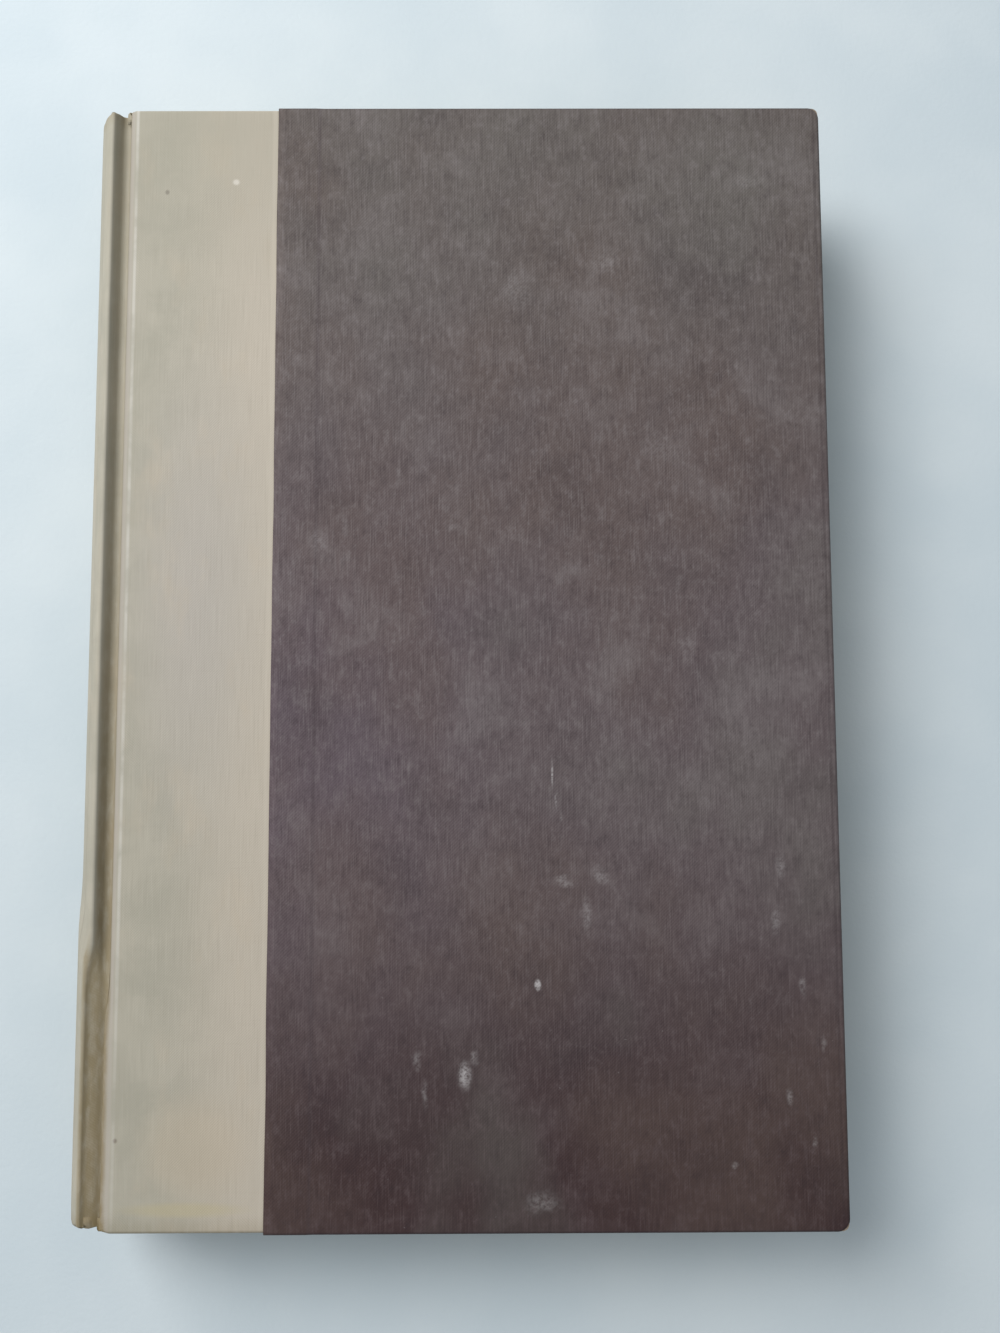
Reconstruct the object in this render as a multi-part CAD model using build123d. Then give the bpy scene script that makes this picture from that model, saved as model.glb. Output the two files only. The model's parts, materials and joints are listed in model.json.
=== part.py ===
"""A hardback book in quarter cloth, lying closed on its back cover.

+X runs from the spine to the fore edge, +Y to the head and +Z up. The origin is at the centre of the
book's box, at the height of the back siding's outer face. The back cover mirrors the front cover.
"""

from build123d import *
import math
import os

# Overall size
book_width = 142.0
book_height = 210.0
book_thickness = 25.0

# Covers
board_thickness = 2.3
board_edge_radius = 1.0
corner_radius = 1.5
cloth_thickness = 0.35
siding_thickness = 0.3
cloth_on_board = 28.5
siding_overlap = 8.0
turn_in = 15.0
paper_thickness = 0.15
pastedown_inset = 0.6

# Spine and joints
spine_rise = 5.0
joint_width = 3.9
crest_drop = 0.5
groove_radius = 1.2
inlay_thickness = 0.3
inlay_margin = 3.5
lining_thickness = 0.3
lining_inset = 3.0
hollow = 0.2

# Page block
square = 3.0
fore_edge_hollow = 3.5
headband_height = 1.5
headband_depth = 1.8

# Clearances
hinge_gap = 0.3
leaf_gap = 0.05
glue_gap = 0.03

# Levels of the front cover, from the outside in
mid_z = book_thickness / 2
board_top = book_thickness - siding_thickness
board_bottom = board_top - board_thickness
turn_in_bottom = board_bottom - siding_thickness
pastedown_bottom = turn_in_bottom - paper_thickness
leaf_top = pastedown_bottom - leaf_gap
block_top = leaf_top - paper_thickness
block_half = block_top - mid_z

# Places across the book
fore_x = book_width / 2
spine_x = -book_width / 2
board_edge_x = spine_x + spine_rise + joint_width
siding_edge_x = board_edge_x + cloth_on_board
cloth_end_x = siding_edge_x + siding_overlap
board_fore_x = fore_x - siding_thickness
page_fore_x = fore_x - square

# Places along the spine
cover_half = book_height / 2
board_half = cover_half - siding_thickness
page_half = cover_half - square

# Round of the spine: every layer is an arc about one centre
crest_half = mid_z - crest_drop
spine_radius = (crest_half**2 + spine_rise**2) / (2 * spine_rise)
round_x = spine_x + spine_radius
inlay_radius = spine_radius - cloth_thickness - glue_gap
flap_radius = inlay_radius - inlay_thickness - glue_gap
lining_radius = flap_radius - cloth_thickness - hollow
block_radius = lining_radius - lining_thickness - glue_gap

# Joint groove: the cloth drops down the board's edge, turns round the groove and climbs at 45 degrees
groove_wall_x = board_edge_x + cloth_thickness / 2
groove_bottom = leaf_top + hinge_gap + cloth_thickness / 2
groove_sum = groove_wall_x - groove_radius + groove_bottom + groove_radius - groove_radius * math.sqrt(2)
shoulder_sum = groove_sum - (cloth_thickness / 2 + hinge_gap + 2 * paper_thickness) * math.sqrt(2)


def crest_angle(radius, line_sum):
    """Angle from -X at which an arc of the spine meets the 45 degree line x + z = line_sum."""
    return math.pi / 4 + math.asin((line_sum - mid_z - round_x) / (radius * math.sqrt(2)))


def on_arc(radius, angle):
    return round_x - radius * math.cos(angle), mid_z + radius * math.sin(angle)


cloth_line_radius = spine_radius - cloth_thickness / 2
hinge_angle = crest_angle(cloth_line_radius, groove_sum)
hinge_x, hinge_z = on_arc(cloth_line_radius, hinge_angle)
block_angle = crest_angle(block_radius, shoulder_sum)
inlay_angle = hinge_angle - inlay_margin / spine_radius


def block_between(x0, x1, y0, y1, z0, z1):
    """A box given by its limits."""
    return Pos(x0, y0, z0) * Box(x1 - x0, y1 - y0, z1 - z0, align=Align.MIN)


def prism(profile, half_length, y=0.0):
    """A section in the XZ plane, drawn out to both sides of y."""
    return Pos(0, y, 0) * extrude(profile, half_length, both=True)


def spine_layer(outer_radius, thickness, angle):
    """Section of one layer of the spine, spanning the angle on both sides of the middle."""
    inner_radius = outer_radius - thickness
    outer_end, inner_end = on_arc(outer_radius, angle), on_arc(inner_radius, angle)
    outer_start, inner_start = on_arc(outer_radius, -angle), on_arc(inner_radius, -angle)
    edges = [
        ThreePointArc(outer_start, (round_x - outer_radius, mid_z), outer_end),
        Line(outer_end, inner_end),
        ThreePointArc(inner_end, (round_x - inner_radius, mid_z), inner_start),
        Line(inner_start, outer_start),
    ]
    return Plane.XZ * make_face(edges)


def wrap(x0, x1, half, z0, z1, thickness, fore_edge):
    """Covering material round a board: outer face, edges and turn-ins, with the board's room left open."""
    wall = thickness if fore_edge else 0.0
    lap = turn_in if fore_edge else 0.0
    outer = block_between(x0, x1, -half, half, z0, z1)
    room = block_between(x0, x1 - wall, thickness - half, half - thickness, z0 + thickness, z1 - thickness)
    window = block_between(x0, x1 - lap, turn_in - half, half - turn_in, z0, z0 + thickness)
    if fore_edge:
        outer = fillet(outer.edges().filter_by(Axis.Z).group_by(Axis.X)[-1], corner_radius)
        room = fillet(room.edges().filter_by(Axis.Z).group_by(Axis.X)[-1], corner_radius - wall)
    return outer - room - window


def spine_edge(solid):
    """The upper edge of a board on its spine side."""
    return solid.edges().filter_by(Axis.Y).group_by(Axis.Z)[-1].sort_by(Axis.X)[0]


def cover_cloth():
    """Tan cloth on the front board with its joint groove, as one sheet from the crest to under the siding."""
    line_top = board_top - cloth_thickness / 2
    start = hinge_gap + cloth_thickness / 2
    step = start / math.sqrt(2)
    path = FilletPolyline(
        (cloth_end_x, line_top),
        (groove_wall_x, line_top),
        (groove_wall_x, groove_sum - groove_wall_x),
        (hinge_x + step, hinge_z - step),
        radius=[board_edge_radius - cloth_thickness / 2, groove_radius],
    )
    section = offset(path, cloth_thickness / 2, side=Side.BOTH, closed=True)
    sheet = prism(Plane.XZ * make_face(section.edges()), board_half)
    sheet -= block_between(cloth_end_x, fore_x, -cover_half, cover_half, 0, book_thickness)
    sides = block_between(board_edge_x, cloth_end_x, -board_half, board_half, board_bottom, board_top)
    sides = fillet(spine_edge(sides), board_edge_radius)
    room = block_between(
        board_edge_x, cloth_end_x, cloth_thickness - board_half, board_half - cloth_thickness, 0, board_top
    )
    window = block_between(
        board_edge_x, cloth_end_x, -board_half, board_half, board_bottom + cloth_thickness, board_top
    )
    middle = block_between(board_edge_x, cloth_end_x, turn_in - board_half, board_half - turn_in, 0, board_top)
    end_caps = sides - room
    turn_ins = sides - window - middle
    return sheet + end_caps + turn_ins


def cover_board(cloth):
    """Front board, pressed flush with the cloth that is let into it."""
    board = block_between(board_edge_x, board_fore_x, -board_half, board_half, board_bottom, board_top)
    board = fillet(board.edges().filter_by(Axis.Z).group_by(Axis.X)[-1], corner_radius - siding_thickness)
    board = fillet(spine_edge(board), board_edge_radius)
    return (board - cloth).solids().sort_by(SortBy.VOLUME)[-1]


def cover_siding():
    """Brown siding of the front board, turned in at head, tail and fore edge."""
    return wrap(siding_edge_x, fore_x, cover_half, turn_in_bottom, book_thickness, siding_thickness, True)


def cover_pastedown(siding):
    """Endpaper pasted to the front board, stepping down over the siding's turn-ins."""
    start_x = board_edge_x + pastedown_inset
    sheet = block_between(start_x, page_fore_x, -page_half, page_half, pastedown_bottom, board_bottom)
    step = turn_in + paper_thickness
    sunk_top = board_bottom - paper_thickness
    sunk = block_between(start_x, fore_x - step, step - cover_half, cover_half - step, 0, sunk_top)
    inner = block_between(start_x, siding_edge_x - paper_thickness, -page_half, page_half, 0, sunk_top)
    return sheet - siding - sunk - inner


def flyleaf():
    """Free endpaper on top of the pages."""
    foot_x = shoulder_sum - block_top
    return block_between(foot_x, page_fore_x, -page_half, page_half, block_top, leaf_top)


def text_block():
    """All the pages as one solid: hollow fore edge, rounded spine and a small shoulder on both sides."""
    crest_x, crest_z = on_arc(block_radius, block_angle)
    foot_x = shoulder_sum - block_top
    low_crest_z, low_top = book_thickness - crest_z, book_thickness - block_top
    edges = [
        Line((page_fore_x, block_top), (foot_x, block_top)),
        Line((foot_x, block_top), (crest_x, crest_z)),
        ThreePointArc((crest_x, crest_z), (round_x - block_radius, mid_z), (crest_x, low_crest_z)),
        Line((crest_x, low_crest_z), (foot_x, low_top)),
        Line((foot_x, low_top), (page_fore_x, low_top)),
        ThreePointArc((page_fore_x, low_top), (page_fore_x - fore_edge_hollow, mid_z), (page_fore_x, block_top)),
    ]
    return prism(Plane.XZ * make_face(edges), page_half)


def spine_lining():
    """Cloth and paper glued over the folds of the pages."""
    section = spine_layer(lining_radius, lining_thickness, block_angle)
    return prism(section, page_half - lining_inset)


def endband():
    """Headband on the head of the page block, along the round of the spine."""
    section = spine_layer(block_radius, headband_depth, block_angle)
    return prism(section, headband_height / 2, page_half + headband_height / 2)


def spine_inlay():
    """Card strip that stiffens the hollow spine."""
    section = spine_layer(inlay_radius, inlay_thickness, inlay_angle)
    return prism(section, board_half - cloth_thickness - glue_gap)


def spine_cloth():
    """Tan cloth over the spine, turned in round both ends of the inlay."""
    gap_angle = (hinge_gap + cloth_thickness / 2) / cloth_line_radius
    cloth = prism(spine_layer(spine_radius, cloth_thickness, hinge_angle - gap_angle), board_half)
    end_depth = spine_radius - flap_radius + cloth_thickness
    end_section = spine_layer(spine_radius, end_depth, inlay_angle)
    flap_section = spine_layer(flap_radius, cloth_thickness, inlay_angle)
    for side in (-1, 1):
        cloth += prism(end_section, cloth_thickness / 2, side * (board_half - cloth_thickness / 2))
        cloth += prism(flap_section, turn_in / 2, side * (board_half - turn_in / 2))
    return cloth


def under(solid):
    """The same piece on the back side of the book."""
    return solid.mirror(Plane.XY.offset(mid_z))


front_cloth = cover_cloth()
front_board = cover_board(front_cloth)
front_siding = cover_siding()
front_pastedown = cover_pastedown(front_siding)
front_flyleaf = flyleaf()
headband = endband()

pieces = {
    "text_block": text_block(),
    "front_flyleaf": front_flyleaf,
    "back_flyleaf": under(front_flyleaf),
    "spine_lining": spine_lining(),
    "headband": headband,
    "tailband": headband.mirror(Plane.XZ),
    "spine_inlay": spine_inlay(),
    "spine_cloth": spine_cloth(),
    "front_board": front_board,
    "front_cloth": front_cloth,
    "front_siding": front_siding,
    "front_pastedown": front_pastedown,
    "back_board": under(front_board),
    "back_cloth": under(front_cloth),
    "back_siding": under(front_siding),
    "back_pastedown": under(front_pastedown),
}

os.makedirs("parts", exist_ok=True)
for name, piece in pieces.items():
    export_step(piece, f"parts/{name}.step")
print(f"front hinge axis at x {hinge_x:.3f}, z {hinge_z:.3f}; back hinge axis at z {book_thickness - hinge_z:.3f}")
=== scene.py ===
"""The looks of a worn hardback book in quarter cloth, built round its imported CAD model."""
import json
import math

import bmesh
import bpy
from mathutils import Matrix, Vector, noise


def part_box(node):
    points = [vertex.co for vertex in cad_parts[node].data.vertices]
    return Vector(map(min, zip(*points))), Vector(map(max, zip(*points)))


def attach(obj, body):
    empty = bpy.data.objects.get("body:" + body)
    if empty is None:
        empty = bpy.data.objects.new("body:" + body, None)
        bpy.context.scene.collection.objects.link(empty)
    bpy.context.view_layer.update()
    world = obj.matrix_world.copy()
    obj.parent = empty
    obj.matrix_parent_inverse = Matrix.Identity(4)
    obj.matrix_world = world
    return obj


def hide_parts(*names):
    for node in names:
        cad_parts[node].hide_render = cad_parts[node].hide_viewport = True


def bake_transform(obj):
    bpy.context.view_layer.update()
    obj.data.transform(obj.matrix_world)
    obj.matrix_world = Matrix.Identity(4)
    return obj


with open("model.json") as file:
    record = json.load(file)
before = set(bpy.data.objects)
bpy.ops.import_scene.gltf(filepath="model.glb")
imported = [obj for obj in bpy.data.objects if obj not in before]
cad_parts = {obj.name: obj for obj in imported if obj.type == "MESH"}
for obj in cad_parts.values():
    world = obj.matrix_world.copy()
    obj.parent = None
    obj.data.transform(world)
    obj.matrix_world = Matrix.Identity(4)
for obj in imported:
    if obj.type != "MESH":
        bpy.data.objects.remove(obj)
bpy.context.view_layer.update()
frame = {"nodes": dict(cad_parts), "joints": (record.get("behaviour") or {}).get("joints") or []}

MM = 0.001

# ---------------------------------------------------------------- places taken from the frame, in mm
siding_low, siding_high = (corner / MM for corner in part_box("front_siding"))
board_low, board_high = (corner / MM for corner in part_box("front_board"))
cloth_low, cloth_high = (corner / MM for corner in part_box("front_cloth"))
pages_low, pages_high = (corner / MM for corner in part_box("text_block"))
spine_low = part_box("spine_cloth")[0] / MM
leaf_low, leaf_high = (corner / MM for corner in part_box("front_flyleaf"))
paste_low, paste_high = (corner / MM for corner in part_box("front_pastedown"))
hinge = Vector(next(j["pos_m"] for j in frame["joints"] if j["name"] == "front_hinge")) / MM

THICK = siding_high.z
MID_Z = THICK / 2
FORE_X, COVER_HALF = siding_high.x, siding_high.y
SIDING_X = siding_low.x
BOARD_X, BOARD_HALF = board_low.x, board_high.y
CLOTH_END_X, CLOTH_TOP = cloth_high.x, cloth_high.z
SPINE_X = spine_low.x

# ---------------------------------------------------------------- sizes of the finish, in mm
# Sheets, and how the cloths are cut and turned in
CLOTH = 0.35
SIDING = 0.3
PAPER = 0.15
TURN_IN = 15.0
SIDING_LAP = 8.0
LAP_SLOPE = 0.7
LAP_STEP = 0.10
CORNER_CUT = 2.2
SIDING_EDGE_R = 0.75

# Folded ends of the tan cloth. The flap gets shorter and shallower in the joint, where it is worn.
END_FOLD_R = 0.75
END_ROW_STEP = 2.5
END_FOLD_STEPS = 7
CAP_DEPTH = 1.2
GROOVE_CAP = 0.72
SHORT_FLAP = 2.2

# Joint: rounded board edge, groove and crest, and the seam on the spine
BOARD_EDGE_R = 1.5
GROOVE_R = 1.05
CREST_R = 0.55
JOINT_SEAM = 2.6

# Pushed-in stretch of the lower spine: where it begins and is full, and how far it moves the cloth
DENT_FROM, DENT_TO = -51.0, -60.0
DENT_SIDE, DENT_PUSH, CREASE_PUSH = 1.35, 0.75, 0.35
DENT_SLANT = 2.5
CREASE_WIDTH = 2.2
SPINE_REACH = 9.0

# Pages and endpapers
FORE_HOLLOW = 3.5
FOLD_SHARE = 0.35
GLUE_GAP = 0.05
LEAF_GAP = 0.06
SUNK_PAPER = 0.22

# Patterns: the spine takes another part of the cloth than the covers do
SPINE_MAP_SHIFT = -160.0
ALL_ALONG = 4000.0
# Painted highlight line on the tan cloth at the top of the board's rounded edge, and how far outside it the
# painted shade band lies
EDGE_HIGHLIGHT_X = BOARD_X - CLOTH + 1.7
HIGHLIGHT_TO_SHADE = 1.15

# A scuff at least this strong is crisp. The weaker ones wander with the nap and are dulled.
SHARP_MARK = 0.85
DULLED = 0.62


def smooth(t):
    """Eases from 0 to 1 as t goes from 0 to 1, and stays level outside."""
    t = min(1.0, max(0.0, t))
    return t * t * (3 - 2 * t)


def ripple(x, y, z, scale, seed=0.0):
    """Soft seeded unevenness between -1 and 1."""
    return noise.noise(Vector((x / scale + seed, y / scale, z / scale)))


# ---------------------------------------------------------------- node helpers
class Nodes:
    """A short way to write a material's node tree."""

    def __init__(self, name):
        self.material = bpy.data.materials.new(name)
        self.material.use_nodes = True
        self.tree = self.material.node_tree
        self.shader = self.tree.nodes["Principled BSDF"]

    def add(self, kind, inputs=None, **settings):
        node = self.tree.nodes.new("ShaderNode" + kind)
        for key, value in settings.items():
            setattr(node, key, value)
        for key, value in (inputs or {}).items():
            self.put(node.inputs[key], value)
        return node

    def put(self, socket, value):
        if isinstance(value, bpy.types.NodeSocket):
            self.tree.links.new(value, socket)
        else:
            socket.default_value = value

    def math(self, operation, a, b=0.0, clamp=False):
        node = self.add("Math", operation=operation, use_clamp=clamp)
        self.put(node.inputs[0], a)
        self.put(node.inputs[1], b)
        return node.outputs[0]

    def mix(self, factor, a, b, blend="MIX"):
        node = self.add("Mix", data_type="RGBA", blend_type=blend)
        self.put(node.inputs[0], factor)
        self.put(node.inputs[6], a)
        self.put(node.inputs[7], b)
        return node.outputs[2]

    def noise(self, vector, scale, detail=3.0, rough=0.55, distortion=0.0):
        inputs = {"Vector": vector, "Scale": scale, "Detail": detail}
        inputs.update({"Roughness": rough, "Distortion": distortion})
        return self.add("TexNoise", inputs).outputs["Fac"]

    def ramp(self, factor, low, high, out_low=0.0, out_high=1.0):
        inputs = {"Value": factor, "From Min": low, "From Max": high, "To Min": out_low, "To Max": out_high}
        return self.add("MapRange", inputs, interpolation_type="SMOOTHSTEP").outputs[0]

    def uv_mm(self):
        """The piece's own map, in millimetres: across the sheet and along the spine."""
        uv = self.add("UVMap", uv_map="sheet").outputs[0]
        return self.add("VectorMath", {0: uv, "Scale": 1000.0}, operation="SCALE").outputs[0]

    def object_mm(self):
        at = self.add("TexCoord").outputs["Object"]
        return self.add("VectorMath", {0: at, "Scale": 1000.0}, operation="SCALE").outputs[0]

    def stretched(self, vector, x, y, z=1.0, shift=(0.0, 0.0, 0.0)):
        return self.add("Mapping", {"Vector": vector, "Scale": (x, y, z), "Location": shift}).outputs[0]

    def split(self, vector):
        return self.add("SeparateXYZ", {0: vector}).outputs

    def spot(self, xy, x, y, rx, ry, soft=0.5):
        """A soft oval mark: 1 at its middle and 0 outside."""
        dx = self.math("DIVIDE", self.math("SUBTRACT", xy[0], x), rx)
        dy = self.math("DIVIDE", self.math("SUBTRACT", xy[1], y), ry)
        squares = self.math("ADD", self.math("POWER", dx, 2.0), self.math("POWER", dy, 2.0))
        return self.ramp(self.math("SQRT", squares), 1.0, 1.0 - soft)

    def finish(self, color, height=None, bump=0.1, rough=0.8, bump_distance=MM):
        self.put(self.shader.inputs["Base Color"], color)
        self.put(self.shader.inputs["Roughness"], rough)
        if height is not None:
            inputs = {"Strength": bump, "Distance": bump_distance, "Height": height}
            self.put(self.shader.inputs["Normal"], self.add("Bump", inputs).outputs[0])
        return self.material


def weave(n, uv, across, along):
    """Height of a plain weave with threads of the given pitch, slightly uneven."""
    wobble = n.noise(n.stretched(uv, 0.6, 0.6), 1.0, 2.0)
    x, y, _ = n.split(uv)
    u = n.math("ADD", n.math("MULTIPLY", x, math.tau / across), n.math("MULTIPLY", wobble, 5.0))
    v = n.math("ADD", n.math("MULTIPLY", y, math.tau / along), n.math("MULTIPLY", wobble, 5.0))
    return n.math("MULTIPLY", n.math("SINE", u), n.math("SINE", v))


# ---------------------------------------------------------------- materials
def brown_cloth(name, marks):
    """Dark purplish-brown book cloth: clouded and scuffed, greyer and lighter to the head as painted sheen,
    redder and darker to the tail as painted shade.
    """
    n = Nodes(name)
    uv = n.uv_mm()
    x, y, _ = n.split(uv)
    threads = n.noise(n.stretched(uv, 3.4, 0.16), 1.0, 3.0, 0.6)
    cross_threads = n.noise(n.stretched(uv, 0.35, 3.2), 1.0, 2.0, 0.6)
    clouds = n.noise(uv, 0.05, 5.0, 0.66, 0.4)
    mottle = n.noise(n.stretched(uv, 0.42, 0.26), 1.0, 5.0, 0.70)
    blotches = n.noise(n.stretched(uv, 0.95, 0.70, shift=(5.0, 1.0, 0.0)), 1.0, 4.0, 0.65)
    patches = n.noise(n.stretched(uv, 0.022, 0.016, shift=(3.0, 7.0, 0.0)), 1.0, 3.0)
    # Greyer and lighter toward the head: painted sheen. Darker and redder toward the tail: painted shade.
    color = n.mix(n.ramp(y, 100.0, 0.0), (0.110, 0.092, 0.082, 1), (0.104, 0.079, 0.080, 1))
    color = n.mix(n.ramp(y, -25.0, -102.0), color, (0.037, 0.018, 0.018, 1))
    purple = n.math("MULTIPLY", n.spot((x, y), -28.0, -20.0, 46.0, 75.0, 1.0), 0.55)
    color = n.mix(purple, color, (0.104, 0.076, 0.095, 1))
    warm = n.math("MULTIPLY", n.ramp(patches, 0.42, 0.66), 0.45)
    color = n.mix(warm, color, (0.100, 0.068, 0.055, 1))
    olive = n.math("MULTIPLY", n.ramp(patches, 0.48, 0.30), 0.35)
    color = n.mix(olive, color, (0.125, 0.115, 0.100, 1))
    # The pale tone of the grain is also lighter toward the head: painted sheen.
    light = n.mix(n.ramp(y, 0.0, -110.0), (0.205, 0.178, 0.172, 1), (0.110, 0.078, 0.078, 1))
    dark = (0.024, 0.015, 0.017, 1)
    grains = (
        (clouds, 0.50, 0.70, 0.30),
        (mottle, 0.50, 0.72, 0.34),
        (blotches, 0.52, 0.72, 0.26),
        (threads, 0.50, 0.70, 0.27),
    )
    for grain, low, high, strength in grains:
        color = n.mix(n.ramp(grain, low, high, 0.0, strength), color, light)
        color = n.mix(n.ramp(grain, 1.0 - low, 1.0 - high, 0.0, strength * 0.8), color, dark)
    color = n.mix(n.ramp(cross_threads, 0.55, 0.8, 0.0, 0.10), color, light)
    # Painted shade along the step where the siding laps over the tan cloth's edge.
    lap = n.math("MULTIPLY", n.spot((x, y), SIDING_X + SIDING_LAP, 0.0, 0.6, ALL_ALONG, 0.9), 0.28)
    color = n.mix(lap, color, (0.05, 0.035, 0.038, 1))
    fore_line = n.math("MULTIPLY", n.spot((x, y), FORE_X - 1.3, 0.0, 0.4, ALL_ALONG, 0.9), 0.25)
    color = n.mix(fore_line, color, dark)
    rim = n.ramp(n.math("ABSOLUTE", y), COVER_HALF - 0.8, COVER_HALF - 0.1, 0.0, 0.5)
    color = n.mix(rim, color, (0.030, 0.018, 0.020, 1))
    ragged = n.ramp(n.noise(uv, 1.3, 4.0, 0.7), 0.36, 0.60, 0.15, 1.0)
    wander = n.noise(uv, 0.22, 3.0, 0.6)
    pushed_x = n.math("ADD", x, n.math("MULTIPLY", n.math("SUBTRACT", wander, 0.5), 2.6))
    pushed_y = n.math("ADD", y, n.math("MULTIPLY", n.math("SUBTRACT", wander, 0.5), -5.0))
    for mark_x, mark_y, rx, ry, strength in marks:
        crisp = strength >= SHARP_MARK
        where = (x, y) if crisp else (pushed_x, pushed_y)
        spot = n.math("MULTIPLY", n.spot(where, mark_x, mark_y, rx, ry, 1.0), ragged)
        cover = n.math("MULTIPLY", spot, strength if crisp else strength * DULLED, True)
        color = n.mix(cover, color, (0.36, 0.33, 0.32, 1))
    specks = n.ramp(n.noise(uv, 0.75, 2.0, 0.5), 0.74, 0.79, 0.0, 0.22)
    color = n.mix(n.math("MULTIPLY", specks, n.ramp(y, -20.0, -70.0)), color, (0.30, 0.27, 0.26, 1))
    height = n.math("ADD", weave(n, uv, 0.62, 0.62), n.math("MULTIPLY", threads, 2.2))
    n.shader.inputs["Specular IOR Level"].default_value = 0.25
    return n.finish(color, height, 0.35, 0.75, 0.06 * MM)


def tan_cloth(name, marks):
    """Smooth tan book cloth, soiled in the joints, with a painted highlight along the board's edge and a
    painted shade band beside it.
    """
    n = Nodes(name)
    uv = n.uv_mm()
    x, y, _ = n.split(uv)
    threads = n.noise(n.stretched(uv, 3.4, 0.10), 1.0, 3.0, 0.6)
    cross_threads = n.noise(n.stretched(uv, 0.12, 3.4), 1.0, 3.0, 0.6)
    clouds = n.noise(uv, 0.09, 5.0, 0.62, 0.3)
    stains = n.noise(n.stretched(uv, 0.10, 0.05, shift=(4.0, 2.0, 0.0)), 1.0, 4.0, 0.6)
    color = n.mix(n.ramp(clouds, 0.35, 0.65), (0.335, 0.308, 0.240, 1), (0.376, 0.342, 0.268, 1))
    color = n.mix(n.ramp(x, -56.0, -36.0, 0.0, 0.75), color, (0.460, 0.395, 0.315, 1))
    color = n.mix(n.spot((x, y), -48.0, 10.0, 18.0, 60.0, 1.0), color, (0.385, 0.345, 0.292, 1))
    color = n.mix(n.ramp(stains, 0.50, 0.72, 0.0, 0.35), color, (0.45, 0.37, 0.27, 1))
    color = n.mix(n.ramp(threads, 0.50, 0.72, 0.0, 0.14), color, (0.56, 0.50, 0.41, 1))
    color = n.mix(n.ramp(threads, 0.48, 0.28, 0.0, 0.20), color, (0.27, 0.235, 0.18, 1))
    color = n.mix(n.ramp(cross_threads, 0.55, 0.75, 0.0, 0.12), color, (0.29, 0.25, 0.19, 1))
    color = n.mix(n.ramp(y, 55.0, 104.0, 0.0, 0.45), color, (0.300, 0.275, 0.205, 1))
    for mark_x, mark_y, rx, ry, strength, tone in marks:
        spot = n.math("MULTIPLY", n.spot((x, y), mark_x, mark_y, rx, ry, 0.7), strength)
        color = n.mix(spot, color, tone)
    # Painted highlight along the board's rounded edge, stronger toward the head.
    edge_highlight = n.spot((x, y), EDGE_HIGHLIGHT_X, 0.0, 0.45, ALL_ALONG, 0.8)
    edge_highlight = n.math("MULTIPLY", edge_highlight, n.ramp(clouds, 0.30, 0.60, 0.15, 0.75))
    edge_highlight = n.math("MULTIPLY", edge_highlight, n.ramp(y, -100.0, -20.0, 0.35, 0.8))
    color = n.mix(edge_highlight, color, (0.56, 0.525, 0.46, 1))
    # Painted shade band on the board's rounded edge, between the painted highlight and the groove.
    edge_shade = n.math("MULTIPLY", n.spot((x, y), EDGE_HIGHLIGHT_X - HIGHLIGHT_TO_SHADE, 0.0, 1.0, ALL_ALONG, 0.7), 0.55)
    color = n.mix(edge_shade, color, (0.345, 0.305, 0.262, 1))
    n.shader.inputs["Specular IOR Level"].default_value = 0.35
    dirt = n.add("Attribute", attribute_name="dirt").outputs["Fac"]
    ragged = n.ramp(n.noise(n.stretched(uv, 0.9, 0.25), 1.0, 4.0, 0.65), 0.25, 0.60, 0.45, 1.0)
    color = n.mix(n.math("MULTIPLY", dirt, ragged, True), color, (0.205, 0.152, 0.070, 1))
    height = n.math("ADD", weave(n, uv, 0.5, 0.5), n.math("MULTIPLY", threads, 2.0))
    return n.finish(color, height, 0.25, 0.68, 0.05 * MM)


def pages_paper():
    """Trimmed edges of the leaves, slightly toned and grouped in gatherings."""
    n = Nodes("page_edges")
    at = n.object_mm()
    z = n.split(at)[2]
    drift = n.noise(n.stretched(at, 0.03, 0.03, 0.25), 1.0, 3.0)
    level = n.math("ADD", z, n.math("MULTIPLY", drift, 0.6))
    pitch = {"W": n.math("MULTIPLY", level, 6.5), "Scale": 1.0, "Detail": 4.0}
    leaves = n.add("TexNoise", pitch, noise_dimensions="1D")
    lines = n.ramp(leaves.outputs[0], 0.36, 0.62)
    color = n.mix(lines, (0.46, 0.37, 0.25, 1), (0.74, 0.65, 0.49, 1))
    gathers = n.math("ABSOLUTE", n.math("SINE", n.math("MULTIPLY", level, math.pi / 1.55)))
    color = n.mix(n.ramp(gathers, 0.14, 0.0, 0.0, 0.4), color, (0.33, 0.25, 0.16, 1))
    toned = n.ramp(n.noise(at, 0.045, 4.0, 0.6), 0.40, 0.68, 0.0, 0.45)
    color = n.mix(toned, color, (0.50, 0.38, 0.24, 1))
    return n.finish(color, leaves.outputs[0], 0.5, 0.85, 0.1 * MM)


def endpaper():
    """Plain cream endpaper, toned toward its edges, with light foxing."""
    n = Nodes("endpaper")
    uv = n.uv_mm()
    x, y, _ = n.split(uv)
    fibres = n.noise(uv, 1.5, 4.0, 0.6)
    tone = n.noise(uv, 0.025, 4.0, 0.6)
    color = n.mix(n.ramp(tone, 0.35, 0.7), (0.72, 0.64, 0.50, 1), (0.64, 0.54, 0.39, 1))
    color = n.mix(n.ramp(fibres, 0.4, 0.7, 0.0, 0.12), color, (0.50, 0.42, 0.30, 1))
    edge = n.math("MAXIMUM", n.ramp(n.math("ABSOLUTE", y), 84.0, 103.0), n.ramp(x, 50.0, 69.0))
    color = n.mix(n.math("MULTIPLY", edge, 0.55), color, (0.50, 0.38, 0.24, 1))
    foxing = n.ramp(n.noise(uv, 0.22, 3.0, 0.55), 0.71, 0.78, 0.0, 0.5)
    color = n.mix(foxing, color, (0.42, 0.27, 0.13, 1))
    return n.finish(color, fibres, 0.15, 0.8, 0.05 * MM)


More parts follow.
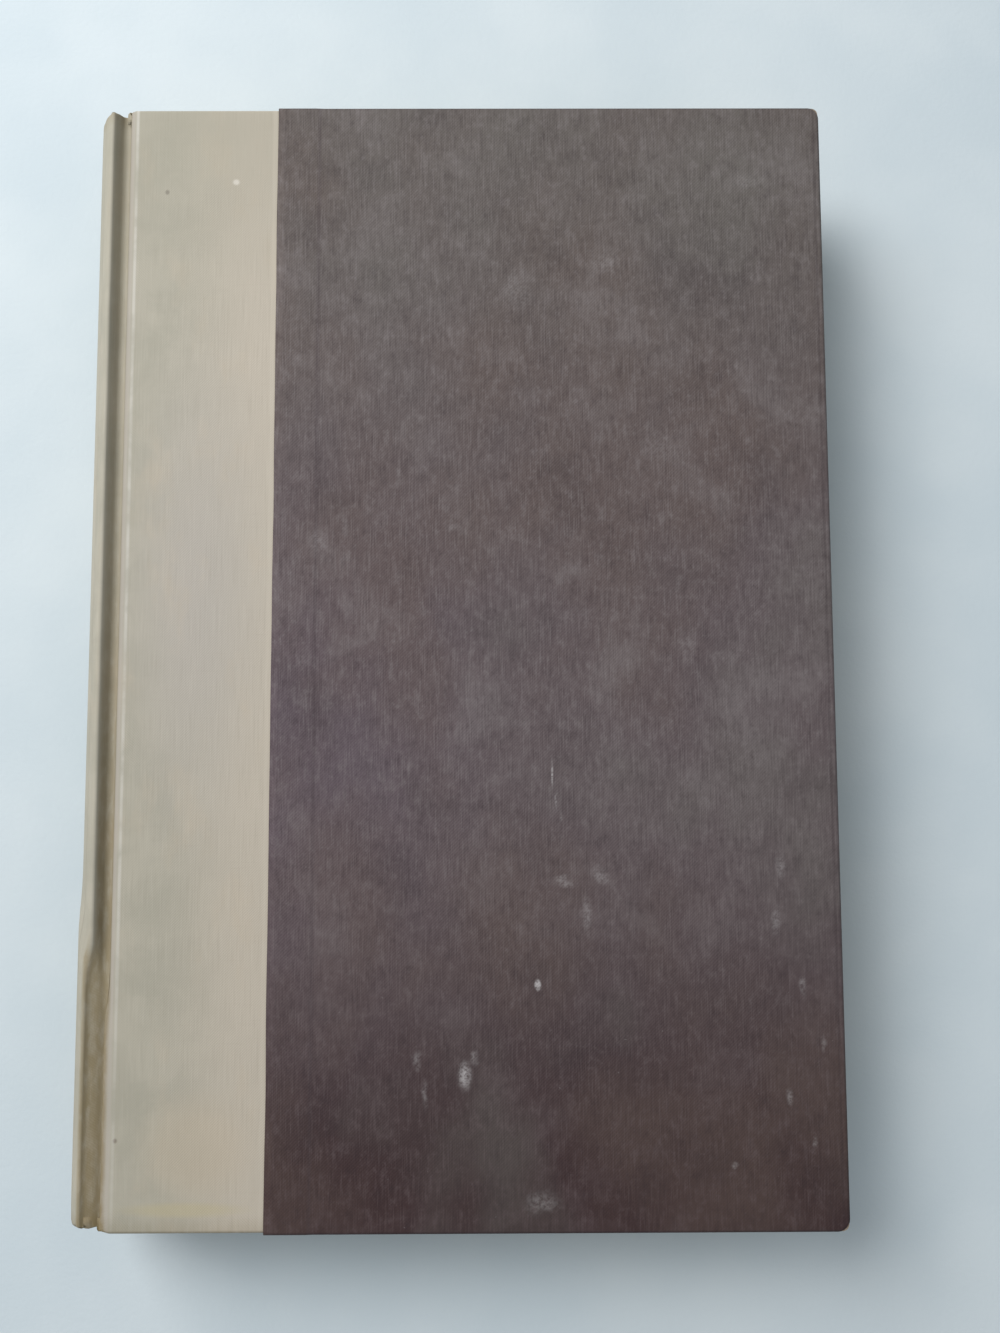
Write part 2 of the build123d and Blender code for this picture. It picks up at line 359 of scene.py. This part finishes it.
def plain_board(name, tone, dark):
    """Card and board that hardly show."""
    n = Nodes(name)
    at = n.object_mm()
    fibres = n.noise(at, 1.2, 4.0, 0.65)
    return n.finish(n.mix(n.ramp(fibres, 0.35, 0.7), tone, dark), fibres, 0.3, 0.9, 0.1 * MM)


def endband_thread():
    """Cream and faded brown threads wound over the band's core."""
    n = Nodes("endband_thread")
    at = n.object_mm()
    z = n.split(at)[2]
    turns = n.math("SINE", n.math("MULTIPLY", z, math.tau / 1.6))
    color = n.mix(n.ramp(turns, -0.15, 0.15), (0.66, 0.58, 0.43, 1), (0.30, 0.17, 0.11, 1))
    strands = n.math("SINE", n.math("MULTIPLY", z, math.tau / 0.32))
    return n.finish(color, strands, 0.5, 0.7, 0.1 * MM)


# x, y, half width, half height in mm and strength of each light scuff on the front siding
BROWN_MARKS = [
    (18.3, -23.5, 0.30, 3.2, 0.9),
    (19.0, -28.2, 0.30, 2.6, 0.7),
    (19.7, -31.0, 0.35, 1.8, 0.4),
    (15.4, -61.5, 0.8, 1.3, 2.4),
    (2.2, -77.4, 1.7, 3.4, 1.0),
    (3.8, -74.0, 1.3, 1.8, 0.6),
    (-6.4, -74.5, 1.2, 2.6, 0.55),
    (-5.0, -80.5, 0.8, 3.2, 0.5),
    (16.0, -99.5, 4.4, 3.0, 0.45),
    (20.0, -42.5, 2.4, 1.6, 0.55),
    (27.0, -42.0, 2.2, 1.8, 0.55),
    (24.4, -49.0, 1.3, 4.4, 0.55),
    (60.0, -40.8, 1.5, 3.0, 0.50),
    (58.8, -50.0, 1.3, 4.2, 0.50),
    (63.6, -62.0, 0.8, 2.6, 0.55),
    (66.8, -72.0, 0.8, 2.0, 0.5),
    (60.4, -81.0, 1.0, 1.8, 0.6),
    (65.0, -89.5, 0.8, 1.4, 0.6),
    (50.6, -93.5, 0.8, 1.2, 0.6),
    (12.0, 68.0, 4.0, 5.5, 0.30),
    (29.0, 74.0, 4.5, 4.5, 0.28),
    (0.0, 22.6, 1.8, 1.8, 0.40),
    (39.0, 37.5, 5.0, 5.0, 0.22),
    (43.5, 0.5, 3.0, 5.0, 0.22),
    (-25.0, 20.0, 2.6, 3.6, 0.32),
    (57.0, 90.0, 5.0, 2.0, 0.25),
]

# x, y, half width, half height in mm, strength and colour of each mark on the front tan cloth
TAN_MARKS = [
    (-54.8, 88.0, 0.6, 0.7, 0.5, (0.10, 0.08, 0.06, 1)),
    (-41.6, 90.0, 0.9, 0.8, 0.55, (0.66, 0.61, 0.53, 1)),
    (-60.4, -88.5, 0.55, 0.6, 0.6, (0.12, 0.08, 0.06, 1)),
    (-34.2, 0.0, 0.7, ALL_ALONG, 0.25, (0.52, 0.46, 0.37, 1)),
    (-48.0, -100.5, 14.0, 1.8, 0.45, (0.43, 0.36, 0.20, 1)),
    (-46.0, -90.0, 13.0, 12.0, 0.35, (0.45, 0.36, 0.25, 1)),
]


# ---------------------------------------------------------------- building sheets
def sheet_object(name, columns, rows, place, material, thickness=0.0, dirt=None):
    """A fine grid laid over a surface.

    place(column, row) gives a point of the surface and its place on the flat sheet, both in mm.
    """
    mesh = bmesh.new()
    bmesh.ops.create_grid(mesh, x_segments=columns, y_segments=rows, size=1.0)
    layer = mesh.loops.layers.uv.new("sheet")
    soiled = mesh.verts.layers.float.new("dirt")
    flat = {}
    for vert in mesh.verts:
        column, row = (vert.co.x + 1) / 2 * columns, (vert.co.y + 1) / 2 * rows
        point, flat[vert] = place(column, row)
        vert[soiled] = dirt(point) if dirt else 0.0
        vert.co = Vector(point) * MM
    for face in mesh.faces:
        face.smooth = True
        for loop in face.loops:
            loop[layer].uv = (flat[loop.vert][0] * MM, flat[loop.vert][1] * MM)
    return object_from(mesh, name, material, thickness)


def object_from(mesh, name, material, thickness=0.0):
    """An object from a finished mesh, made solid where it is a sheet."""
    data = bpy.data.meshes.new(name)
    mesh.to_mesh(data)
    mesh.free()
    made = bpy.data.objects.new(name, data)
    bpy.context.scene.collection.objects.link(made)
    data.materials.append(material)
    if thickness:
        shell = made.modifiers.new("thickness", "SOLIDIFY")
        shell.thickness = thickness * MM
        shell.offset = -1.0
    return made


def under(made, name):
    """A copy of a front piece for the back of the book."""
    data = made.data.copy()
    data.name = name
    data.transform(Matrix.Translation((0, 0, THICK * MM)) @ Matrix.Scale(-1, 4, (0, 0, 1)))
    data.flip_normals()
    copy = bpy.data.objects.new(name, data)
    bpy.context.scene.collection.objects.link(copy)
    for modifier in made.modifiers:
        shell = copy.modifiers.new(modifier.name, "SOLIDIFY")
        shell.thickness, shell.offset = modifier.thickness, modifier.offset
    return copy


def arc(center, radius, start, end, step=0.35):
    """Points of an arc in the XZ plane, angles in degrees from +X towards +Z."""
    count = max(3, round(abs(math.radians(end - start)) * radius / step))
    angles = [math.radians(start + (end - start) * i / count) for i in range(count + 1)]
    return [(center[0] + radius * math.cos(a), center[1] + radius * math.sin(a)) for a in angles]


def straight(a, b, step):
    """Points of a straight line in the XZ plane."""
    count = max(1, round(math.dist(a, b) / step))
    return [(a[0] + (b[0] - a[0]) * i / count, a[1] + (b[1] - a[1]) * i / count) for i in range(count + 1)]


def joined(*runs):
    """One path from several runs, without points that repeat."""
    path = []
    for run in runs:
        for point in run:
            if not path or math.dist(point, path[-1]) > 1e-4:
                path.append(point)
    return path


# The round of the spine, as in the CAD: an arc through both crests and the middle of the spine
crest_half = hinge.z - MID_Z + CLOTH / 2
rise = hinge.x - SPINE_X - CLOTH / 2
ROUND_R = (crest_half**2 + rise**2) / (2 * rise)
ROUND_X = SPINE_X + ROUND_R
CREST_ANGLE = math.degrees(math.asin(crest_half / ROUND_R))
SEAM_ANGLE = CREST_ANGLE - math.degrees(JOINT_SEAM / ROUND_R)


def joint_path():
    """Outer line of the front cloth: spine seam, crest, groove, board's edge and flat, in XZ."""
    crest = (hinge.x + 0.05, hinge.z + 0.1)
    seam_arc = arc((ROUND_X, MID_Z), ROUND_R, 180 - SEAM_ANGLE, 180 - CREST_ANGLE + 2.0, 0.3)
    crest_center = (crest[0] + 0.05, crest[1] - CREST_R + 0.05)
    crest_arc = arc(crest_center, CREST_R, 135, 45, 0.12)
    wall_x = BOARD_X - CLOTH
    groove_center = (wall_x - GROOVE_R, cloth_low.z + CLOTH + GROOVE_R)
    groove_arc = arc(groove_center, GROOVE_R, 225, 360, 0.2)
    edge_center = (wall_x + BOARD_EDGE_R, CLOTH_TOP - BOARD_EDGE_R)
    edge_arc = arc(edge_center, BOARD_EDGE_R, 180, 90, 0.15)
    flat = straight((edge_center[0], CLOTH_TOP), (CLOTH_END_X, CLOTH_TOP), 1.2)
    slope = straight(crest_arc[-1], groove_arc[0], 0.35)
    return joined(seam_arc, crest_arc, slope, groove_arc, edge_arc, flat)


def lengths(path):
    """How far along a path each of its points lies."""
    total, found = 0.0, [0.0]
    for a, b in zip(path, path[1:]):
        total += math.dist(a, b)
        found.append(total)
    return found


def inward(path, i):
    """Unit normal of a path at a point, to the right of its direction, which is into the book."""
    a, b = path[max(0, i - 1)], path[min(len(path) - 1, i + 1)]
    dx, dz = b[0] - a[0], b[1] - a[1]
    size = math.hypot(dx, dz) or 1.0
    return dz / size, -dx / size


def end_fold(depth, turn_in):
    """Rows of the tan cloth from one turned-in end to the other: (y, how far inside its face)."""
    half = BOARD_HALF
    radius = min(END_FOLD_R, depth / 2)
    start = half - radius
    quarter = [math.pi / 2 * i / END_FOLD_STEPS for i in range(END_FOLD_STEPS + 1)]
    rows = [(half - turn_in, depth), (half - turn_in / 2, depth)]
    rows += [(start + radius * math.sin(a), depth - radius + radius * math.cos(a)) for a in quarter]
    rows += [(start + radius * math.cos(a), radius - radius * math.sin(a)) for a in quarter]
    inner = [(y, 0.0) for y in frange(start, -start, END_ROW_STEP)][1:-1]
    return rows + inner + [(-y, d) for y, d in reversed(rows)]


def frange(a, b, step):
    """Even values from a to b, about a step apart."""
    count = max(1, round(abs(b - a) / step))
    return [a + (b - a) * i / count for i in range(count + 1)]


def dent(x, y, z):
    """How the worn lower spine is pushed in at the front shoulder, as a shift in mm."""
    if z < MID_Z:
        return 0.0, 0.0
    slant = y + (x - hinge.x) * DENT_SLANT
    lower = smooth((DENT_FROM - slant) / (DENT_FROM - DENT_TO))
    crease = math.exp(-(((slant - (DENT_FROM + DENT_TO) / 2) / CREASE_WIDTH) ** 2))
    if x > hinge.x:
        groove_z = cloth_low.z + CLOTH
        near = smooth((z - groove_z) / (hinge.z - groove_z))
    else:
        near = smooth((z - hinge.z + SPINE_REACH) / SPINE_REACH)
    return -DENT_SIDE * lower * near, (-DENT_PUSH * lower - CREASE_PUSH * crease) * near


def tail_wear(y):
    """How worn the cloth's cap is: 0 inside the last 5 mm of the tail and 1 at its end."""
    return smooth((-BOARD_HALF + 5.0 - y) / 5.0)


def spine_shift(x, y, z):
    """How far wear moves a point of the tan cloth over the spine, in mm."""
    dx, dz = dent(x, y, z)
    on_spine = smooth((BOARD_X - 0.6 - x) / 1.5)
    wave = ripple(x, y, z, 14.0) * 0.16 * on_spine + ripple(x, y, z, 3.2, 5.0) * 0.05 * on_spine
    worn = max(tail_wear(y), 0.4 * tail_wear(-y)) * on_spine
    rag = ripple(x, 0, z, 1.3, 9.0) * 0.55 + ripple(x, 0, z, 3.1, 2.0) * 0.6
    return dx + wave * 0.4, worn * (0.35 + rag) * (1 if y < 0 else -1), dz + wave - 0.25 * worn


def groove_dirt(point):
    """Dirt in the joint groove, heavier to the tail, and at the worn ends of the spine."""
    x, y, z = point
    z = max(z, THICK - z)
    widened = 1.7 * smooth((DENT_FROM - y) / 6.0)
    low = smooth((CLOTH_TOP - 0.15 - z) / 0.9) * smooth((x - hinge.x + 0.3 + widened) / 0.8)
    low *= smooth((BOARD_X + 0.5 - x) / 0.8)
    down = 0.20 + 0.62 * smooth((60 - y) / 150)
    ends = 0.45 * smooth((abs(y) - BOARD_HALF + 3.5) / 4.0) * smooth((BOARD_X + 1 - x) / 2)
    tail_edge = 0.5 * smooth((-y - BOARD_HALF + 1.3) / 1.2)
    return min(1.0, low * down + ends + tail_edge)


def cover_cloth(material):
    """Front tan cloth: from the spine over the crest, down the groove and onto the board."""
    path = joint_path()
    run = lengths(path)
    offset = path[-1][0] - run[-1]
    board_depth = CLOTH_TOP - board_low.z
    columns = len(path) - 1
    row_count = len(end_fold(board_depth, TURN_IN)) - 1

    def place(column, row):
        i, j = round(column), round(row)
        x, z = path[i]
        on_board = smooth((x - BOARD_X + CLOTH) / 1.2)
        in_groove = smooth((x - hinge.x) / 1.0)
        cap = CAP_DEPTH + (GROOVE_CAP - CAP_DEPTH) * in_groove
        depth = cap + (board_depth - cap) * on_board
        flap = SHORT_FLAP + (TURN_IN - SHORT_FLAP) * on_board
        y, inside = end_fold(depth, flap)[row_count - j]
        nx, nz = inward(path, i)
        fade = 1 - on_board
        px, pz = x + nx * inside * fade, z + (nz * fade - on_board) * inside
        dx, dy, dz = spine_shift(px, y, pz)
        point = (px + dx * fade, y + dy * fade, pz + dz * fade)
        return point, (run[i] + offset, y + math.copysign(inside, y))

    return sheet_object("front_tan_cloth", columns, row_count, place, material, CLOTH, groove_dirt)


def spine_tan_cloth(material):
    """Tan cloth round the spine between both joints, turned in at head and tail."""
    path = arc((ROUND_X, MID_Z), ROUND_R, 180 + SEAM_ANGLE, 180 - SEAM_ANGLE, 0.45)
    run = lengths(path)
    columns = len(path) - 1
    rows = end_fold(CAP_DEPTH, TURN_IN)

    def place(column, row):
        i, j = round(column), round(row)
        x, z = path[i]
        y, inside = rows[len(rows) - 1 - j]
        nx, nz = inward(path, i)
        px, pz = x + nx * inside, z + nz * inside
        dx, dy, dz = spine_shift(px, y, pz)
        return (px + dx, y + dy, pz + dz), (run[i] + SPINE_MAP_SHIFT, y)

    return sheet_object("spine_tan_cloth", columns, len(rows) - 1, place, material, CLOTH, groove_dirt)


def cut_through(mesh, at, across):
    """Adds the edges where a plane crosses the whole mesh."""
    geometry = mesh.verts[:] + mesh.edges[:] + mesh.faces[:]
    bmesh.ops.bisect_plane(mesh, geom=geometry, plane_co=at, plane_no=across)


def soften(mesh, edges, size, segments):
    """Rounds edges."""
    bmesh.ops.bevel(mesh, geom=edges, offset=size, segments=segments, profile=0.5, affect="EDGES",
                    material=-1)


def brown_siding(material):
    """Siding over the board, turned in on three edges, with soft edges and slightly rubbed corners."""
    mesh = bmesh.new()
    bmesh.ops.create_cube(mesh, size=1.0)
    size = siding_high - siding_low
    middle = (siding_high + siding_low) / 2
    bmesh.ops.scale(mesh, vec=size, verts=mesh.verts)
    bmesh.ops.translate(mesh, vec=middle, verts=mesh.verts)
    corners = [e for e in mesh.edges if all(abs(v.co.x - FORE_X) < 0.01 for v in e.verts)
               and abs(e.verts[0].co.y - e.verts[1].co.y) < 0.01]
    soften(mesh, corners, CORNER_CUT, 6)
    open_face = [f for f in mesh.faces if f.normal.x < -0.9]
    bmesh.ops.delete(mesh, geom=open_face, context="FACES")
    rims = [e for e in mesh.edges if len(e.link_faces) == 2
            and any(abs(f.normal.z) > 0.9 for f in e.link_faces)
            and any(abs(f.normal.z) < 0.1 for f in e.link_faces)]
    soften(mesh, rims, SIDING_EDGE_R, 5)
    lap_x = SIDING_X + SIDING_LAP
    across = [lap_x - LAP_SLOPE, lap_x + LAP_SLOPE] + frange(SIDING_X + 1.5, FORE_X - 4, 4.0)
    for cut in across + [FORE_X - TURN_IN]:
        cut_through(mesh, (cut, 0, 0), (1, 0, 0))
    along = frange(-COVER_HALF + TURN_IN, COVER_HALF - TURN_IN, 5.0)
    for cut in along + [-COVER_HALF + 2, COVER_HALF - 2]:
        cut_through(mesh, (0, cut, 0), (0, 1, 0))
    window = [f for f in mesh.faces if f.normal.z < -0.9 and f.calc_center_median().x < FORE_X - TURN_IN
              and abs(f.calc_center_median().y) < COVER_HALF - TURN_IN]
    bmesh.ops.delete(mesh, geom=window, context="FACES")
    bmesh.ops.recalc_face_normals(mesh, faces=mesh.faces)
    if max(mesh.faces, key=lambda f: f.calc_center_median().z).normal.z < 0:
        bmesh.ops.reverse_faces(mesh, faces=mesh.faces)
    for vert in mesh.verts:
        x, y, z = vert.co
        if z > siding_low.z + 1.0:
            vert.co.z -= LAP_STEP * smooth((x - lap_x + LAP_SLOPE) / (2 * LAP_SLOPE))
        if x < SIDING_X + 0.01:
            vert.co.x += 0.12 * ripple(0, y, 0, 18.0) + 0.05 * ripple(0, y, 0, 2.5, 3.0)
    layer = mesh.loops.layers.uv.new("sheet")
    for face in mesh.faces:
        face.smooth = True
        turned = face.normal
        for loop in face.loops:
            x, y, z = loop.vert.co
            drop = siding_high.z - z
            u = x if abs(turned.x) < 0.7 else FORE_X + drop
            v = y if abs(turned.y) < 0.7 else math.copysign(COVER_HALF + drop, y)
            loop[layer].uv = (u * MM, v * MM)
    bmesh.ops.scale(mesh, vec=(MM, MM, MM), verts=mesh.verts)
    return object_from(mesh, "front_brown_siding", material, SIDING)


def page_block(material):
    """The pages: rounded spine with shoulders, and a hollow fore edge of uneven gatherings."""
    half = pages_high.z - MID_Z
    top = leaf_low.z - MID_Z
    foot_x = leaf_low.x
    fore = leaf_high.x
    crest_x = foot_x - (half - top)
    block_r = (half**2 + (crest_x - pages_low.x)**2) / (2 * (crest_x - pages_low.x))
    bow = math.degrees(math.asin(half / block_r))
    rounded = arc((pages_low.x + block_r, MID_Z), block_r, 180 - bow, 180 + bow, 0.6)
    spine = [(x, z - MID_Z) for x, z in rounded]
    fore_edge = [(fore - FORE_HOLLOW * (1 - (z / top) ** 2), z) for z in frange(-top, top, 0.3)]
    bottom = straight((foot_x + 2, -top), (fore - 2, -top), 8)
    upper = straight((fore - 2, top), (foot_x + 2, top), 8)
    outline = joined(spine, [(foot_x, -top)], bottom, fore_edge, upper, [(foot_x, top)])
    mesh = bmesh.new()
    ring = [mesh.verts.new((x, -pages_high.y, z + MID_Z)) for x, z in outline]
    face = mesh.faces.new(ring)
    moved = bmesh.ops.extrude_face_region(mesh, geom=[face])["geom"]
    verts = [g for g in moved if isinstance(g, bmesh.types.BMVert)]
    bmesh.ops.translate(mesh, vec=(0, pages_high.y * 2, 0), verts=verts)
    for cut in frange(-pages_high.y + 12, pages_high.y - 12, 12.0):
        cut_through(mesh, (0, cut, 0), (0, 1, 0))
    bmesh.ops.recalc_face_normals(mesh, faces=mesh.faces)
    for vert in mesh.verts:
        x, y, z = vert.co
        if x > fore - FORE_HOLLOW - 1 and abs(z - MID_Z) < top - 0.2:
            gathering = 0.12 * abs(math.sin(z * 2.03))
            vert.co.x -= 0.14 * abs(ripple(0, y, z, 26.0)) + gathering
    bmesh.ops.scale(mesh, vec=(MM, MM, MM), verts=mesh.verts)
    return object_from(mesh, "page_block", material)


def free_endpaper(material):
    """Free endpaper over the pages, bent up the shoulder to its fold."""
    rise_z = FOLD_SHARE * (pages_high.z - leaf_low.z)
    fold, foot = (leaf_low.x - rise_z, leaf_high.z + rise_z), (leaf_low.x, leaf_high.z)
    path = joined(straight(fold, foot, 0.3), straight(foot, (leaf_high.x, leaf_high.z), 3.0))
    run = lengths(path)
    rows = frange(-leaf_high.y, leaf_high.y, 4.0)

    def place(column, row):
        x, z = path[round(column)]
        y = rows[round(row)]
        return (x, y, z), (run[round(column)] + path[-1][0] - run[-1], y)

    return sheet_object("front_free_endpaper", len(path) - 1, len(rows) - 1, place, material, PAPER)


def pasted_endpaper(material):
    """Pastedown: from the fold at the shoulder, across the joint and over the board's inner face."""
    rise_z = FOLD_SHARE * (pages_high.z - leaf_low.z)
    low = paste_low.z + GLUE_GAP
    fold = (leaf_low.x - rise_z + GLUE_GAP, leaf_high.z + rise_z + PAPER + LEAF_GAP)
    foot, edge = (leaf_low.x + 0.1, low), (paste_low.x, low)
    over_board = straight(edge, (paste_high.x, low), 2.0)
    path = joined(straight(fold, foot, 0.15), straight(foot, edge, 0.3), over_board)
    run = lengths(path)
    rows = frange(-paste_high.y, paste_high.y, 2.0)

    def place(column, row):
        x, z = path[round(column)]
        y = rows[round(row)]
        inner = smooth((COVER_HALF - TURN_IN - abs(y)) / 1.2) * smooth((FORE_X - TURN_IN - x) / 1.2)
        inner = max(inner, smooth((SIDING_X - x) / 1.2))
        sunk = SUNK_PAPER * inner * smooth((x - paste_low.x) / 1.5)
        return (x, y, z + sunk), (run[round(column)] + path[-1][0] - run[-1], y)

    made = sheet_object("front_pasted_endpaper", len(path) - 1, len(rows) - 1, place, material, PAPER)
    made.data.flip_normals()
    return made, fold


def endband_bead(band, material):
    """Thread-wound bead on the end of the page block, following the round."""
    low, high = (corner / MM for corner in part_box(band))
    radius = (high.y - low.y) / 2
    half = (high.z - low.z) / 2 - radius
    sag = high.x - low.x - 2 * radius
    bend = (half**2 + sag**2) / (2 * sag)
    sweep = 2 * math.asin(half / bend)
    mesh = bmesh.new()
    ring = bmesh.ops.create_circle(mesh, cap_ends=False, radius=radius, segments=16)["verts"]
    center = Vector((low.x + radius + bend, 0, MID_Z))
    middle_y = (low.y + high.y) / 2
    start = Matrix.Translation((center.x - bend, middle_y, MID_Z))
    bmesh.ops.transform(mesh, matrix=start, verts=ring)
    bmesh.ops.rotate(mesh, cent=center, matrix=Matrix.Rotation(-sweep / 2, 3, "Y"), verts=ring)
    bmesh.ops.spin(mesh, geom=mesh.verts[:] + mesh.edges[:], cent=center, axis=(0, 1, 0),
                   angle=sweep, steps=120, use_merge=False, use_duplicate=False)
    bmesh.ops.holes_fill(mesh, edges=[e for e in mesh.edges if e.is_boundary], sides=16)
    bmesh.ops.recalc_face_normals(mesh, faces=mesh.faces)
    for vert in mesh.verts:
        angle = math.atan2(vert.co.z - MID_Z, center.x - vert.co.x) * bend
        swell = 1 + 0.06 * math.sin(angle * math.tau / 0.8)
        vert.co.y = middle_y + (vert.co.y - middle_y) * swell
    for face in mesh.faces:
        face.smooth = True
    bmesh.ops.scale(mesh, vec=(MM, MM, MM), verts=mesh.verts)
    return object_from(mesh, f"{band}_bead", material)


# ---------------------------------------------------------------- the book
tan = tan_cloth("tan_cloth", TAN_MARKS)
brown = brown_cloth("brown_cloth", BROWN_MARKS)
back_materials = {
    "tan_cloth": tan_cloth("back_tan_cloth", []),
    "brown_siding": brown_cloth("back_brown_cloth", []),
}
paper = endpaper()

spine = spine_tan_cloth(tan)
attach(spine, "block")
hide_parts("spine_cloth")

front_cloth = cover_cloth(tan)
front_siding = brown_siding(brown)
front_leaf = free_endpaper(paper)
front_paste, fold = pasted_endpaper(paper)
back = {
    "tan_cloth": under(front_cloth, "back_tan_cloth"),
    "brown_siding": under(front_siding, "back_brown_siding"),
    "free_endpaper": under(front_leaf, "back_free_endpaper"),
    "pasted_endpaper": under(front_paste, "back_pasted_endpaper"),
}
front = {
    "tan_cloth": front_cloth,
    "brown_siding": front_siding,
    "free_endpaper": front_leaf,
    "pasted_endpaper": front_paste,
}

for piece, material in back_materials.items():
    back[piece].data.materials[0] = material

bending = (("tan_cloth", "cloth", "tan_cloth"), ("pasted_endpaper", "pastedown", "endpaper"))
for side, pieces in (("front", front), ("back", back)):
    for piece, node, slot in bending:
        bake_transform(pieces[piece])
        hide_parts(f"{side}_{node}")
    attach(pieces["brown_siding"], f"{side}_cover")
    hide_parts(f"{side}_siding")
    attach(pieces["free_endpaper"], "block")
    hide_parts(f"{side}_flyleaf")

pages = page_block(pages_paper())
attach(pages, "block")
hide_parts("text_block")

thread = endband_thread()
for band in ("headband", "tailband"):
    bead = endband_bead(band, thread)
    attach(bead, "block")
    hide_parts(band)

board = plain_board("millboard", (0.26, 0.20, 0.14, 1), (0.18, 0.14, 0.10, 1))
card = plain_board("inlay_card", (0.30, 0.25, 0.18, 1), (0.22, 0.18, 0.13, 1))
lining = plain_board("lining_cloth", (0.52, 0.45, 0.33, 1), (0.40, 0.34, 0.24, 1))
inner_nodes = {"front_board": board, "back_board": board, "spine_inlay": card, "spine_lining": lining}
for node, material in inner_nodes.items():
    frame["nodes"][node].data.materials.clear()
    frame["nodes"][node].data.materials.append(material)


# ---------------------------------------------------------------- floor, light and camera
FLOOR_HALF = 2.0
SKY_STRENGTH = 0.46
WINDOW_AT = (-0.45, 0.44, 0.62)
WINDOW_SIZE = (0.5, 0.5)
WINDOW_POWER = 8.6
TILT, LEAN, TURN = -4.35, 0.23, 0.21
CAMERA_AWAY = Vector((42.4, -3.5, 185.3))
LENS, SENSOR = 27.0, 36.0


def floor():
    """Pale cloth floor, which can be looked through from below."""
    n = Nodes("pale_cloth_floor")
    at = n.object_mm()
    soft = n.noise(at, 0.02, 3.0)
    color = n.mix(n.ramp(soft, 0.3, 0.7), (0.525, 0.585, 0.605, 1), (0.585, 0.635, 0.645, 1))
    material = n.finish(color, n.noise(at, 0.8, 4.0, 0.7), 0.3, 0.95, 0.2 * MM)
    see_through = n.add("BsdfTransparent").outputs[0]
    facing = n.add("NewGeometry").outputs["Backfacing"]
    mixer = n.add("MixShader", {0: facing, 1: n.shader.outputs[0], 2: see_through})
    n.put(n.tree.nodes["Material Output"].inputs["Surface"], mixer.outputs[0])
    mesh = bmesh.new()
    bmesh.ops.create_grid(mesh, x_segments=1, y_segments=1, size=FLOOR_HALF)
    object_from(mesh, "floor", material)


def lamp(name, at, size, power, color):
    """Soft lamp that points at the book."""
    data = bpy.data.lights.new(name, "AREA")
    data.shape = "RECTANGLE"
    data.size, data.size_y = size
    data.energy = power
    data.color = color
    made = bpy.data.objects.new(name, data)
    bpy.context.scene.collection.objects.link(made)
    made.location = at
    made.rotation_euler = (Vector((0, 0, 0)) - Vector(at)).to_track_quat("-Z", "Y").to_euler()


def light():
    """Pale even room light, and a window beyond the head on the spine's side."""
    world = bpy.data.worlds.new("soft_room")
    world.use_nodes = True
    sky = world.node_tree.nodes["Background"].inputs
    sky["Color"].default_value = (0.86, 0.93, 1.0, 1)
    sky["Strength"].default_value = SKY_STRENGTH
    bpy.context.scene.world = world
    lamp("window", WINDOW_AT, WINDOW_SIZE, WINDOW_POWER, (0.97, 0.98, 1.0))


def camera():
    """Looks down on the front cover from close by, tilted a little towards the tail."""
    tilt, lean, turn = (math.radians(a) for a in (TILT, LEAN, TURN))
    turned = Matrix.Rotation(tilt, 3, "X") @ Matrix.Rotation(lean, 3, "Y") @ Matrix.Rotation(turn, 3, "Z")
    data = bpy.data.cameras.new("camera")
    data.sensor_fit = "VERTICAL"
    data.sensor_height = SENSOR
    data.lens = LENS
    data.clip_start = 0.01
    made = bpy.data.objects.new("camera", data)
    bpy.context.scene.collection.objects.link(made)
    place = turned.transposed() @ CAMERA_AWAY + Vector((SIDING_X, 0, THICK))
    made.matrix_world = Matrix.Translation(place * MM) @ turned.transposed().to_4x4()
    bpy.context.scene.camera = made


floor()
light()
camera()
bpy.context.scene.view_settings.view_transform = "Standard"
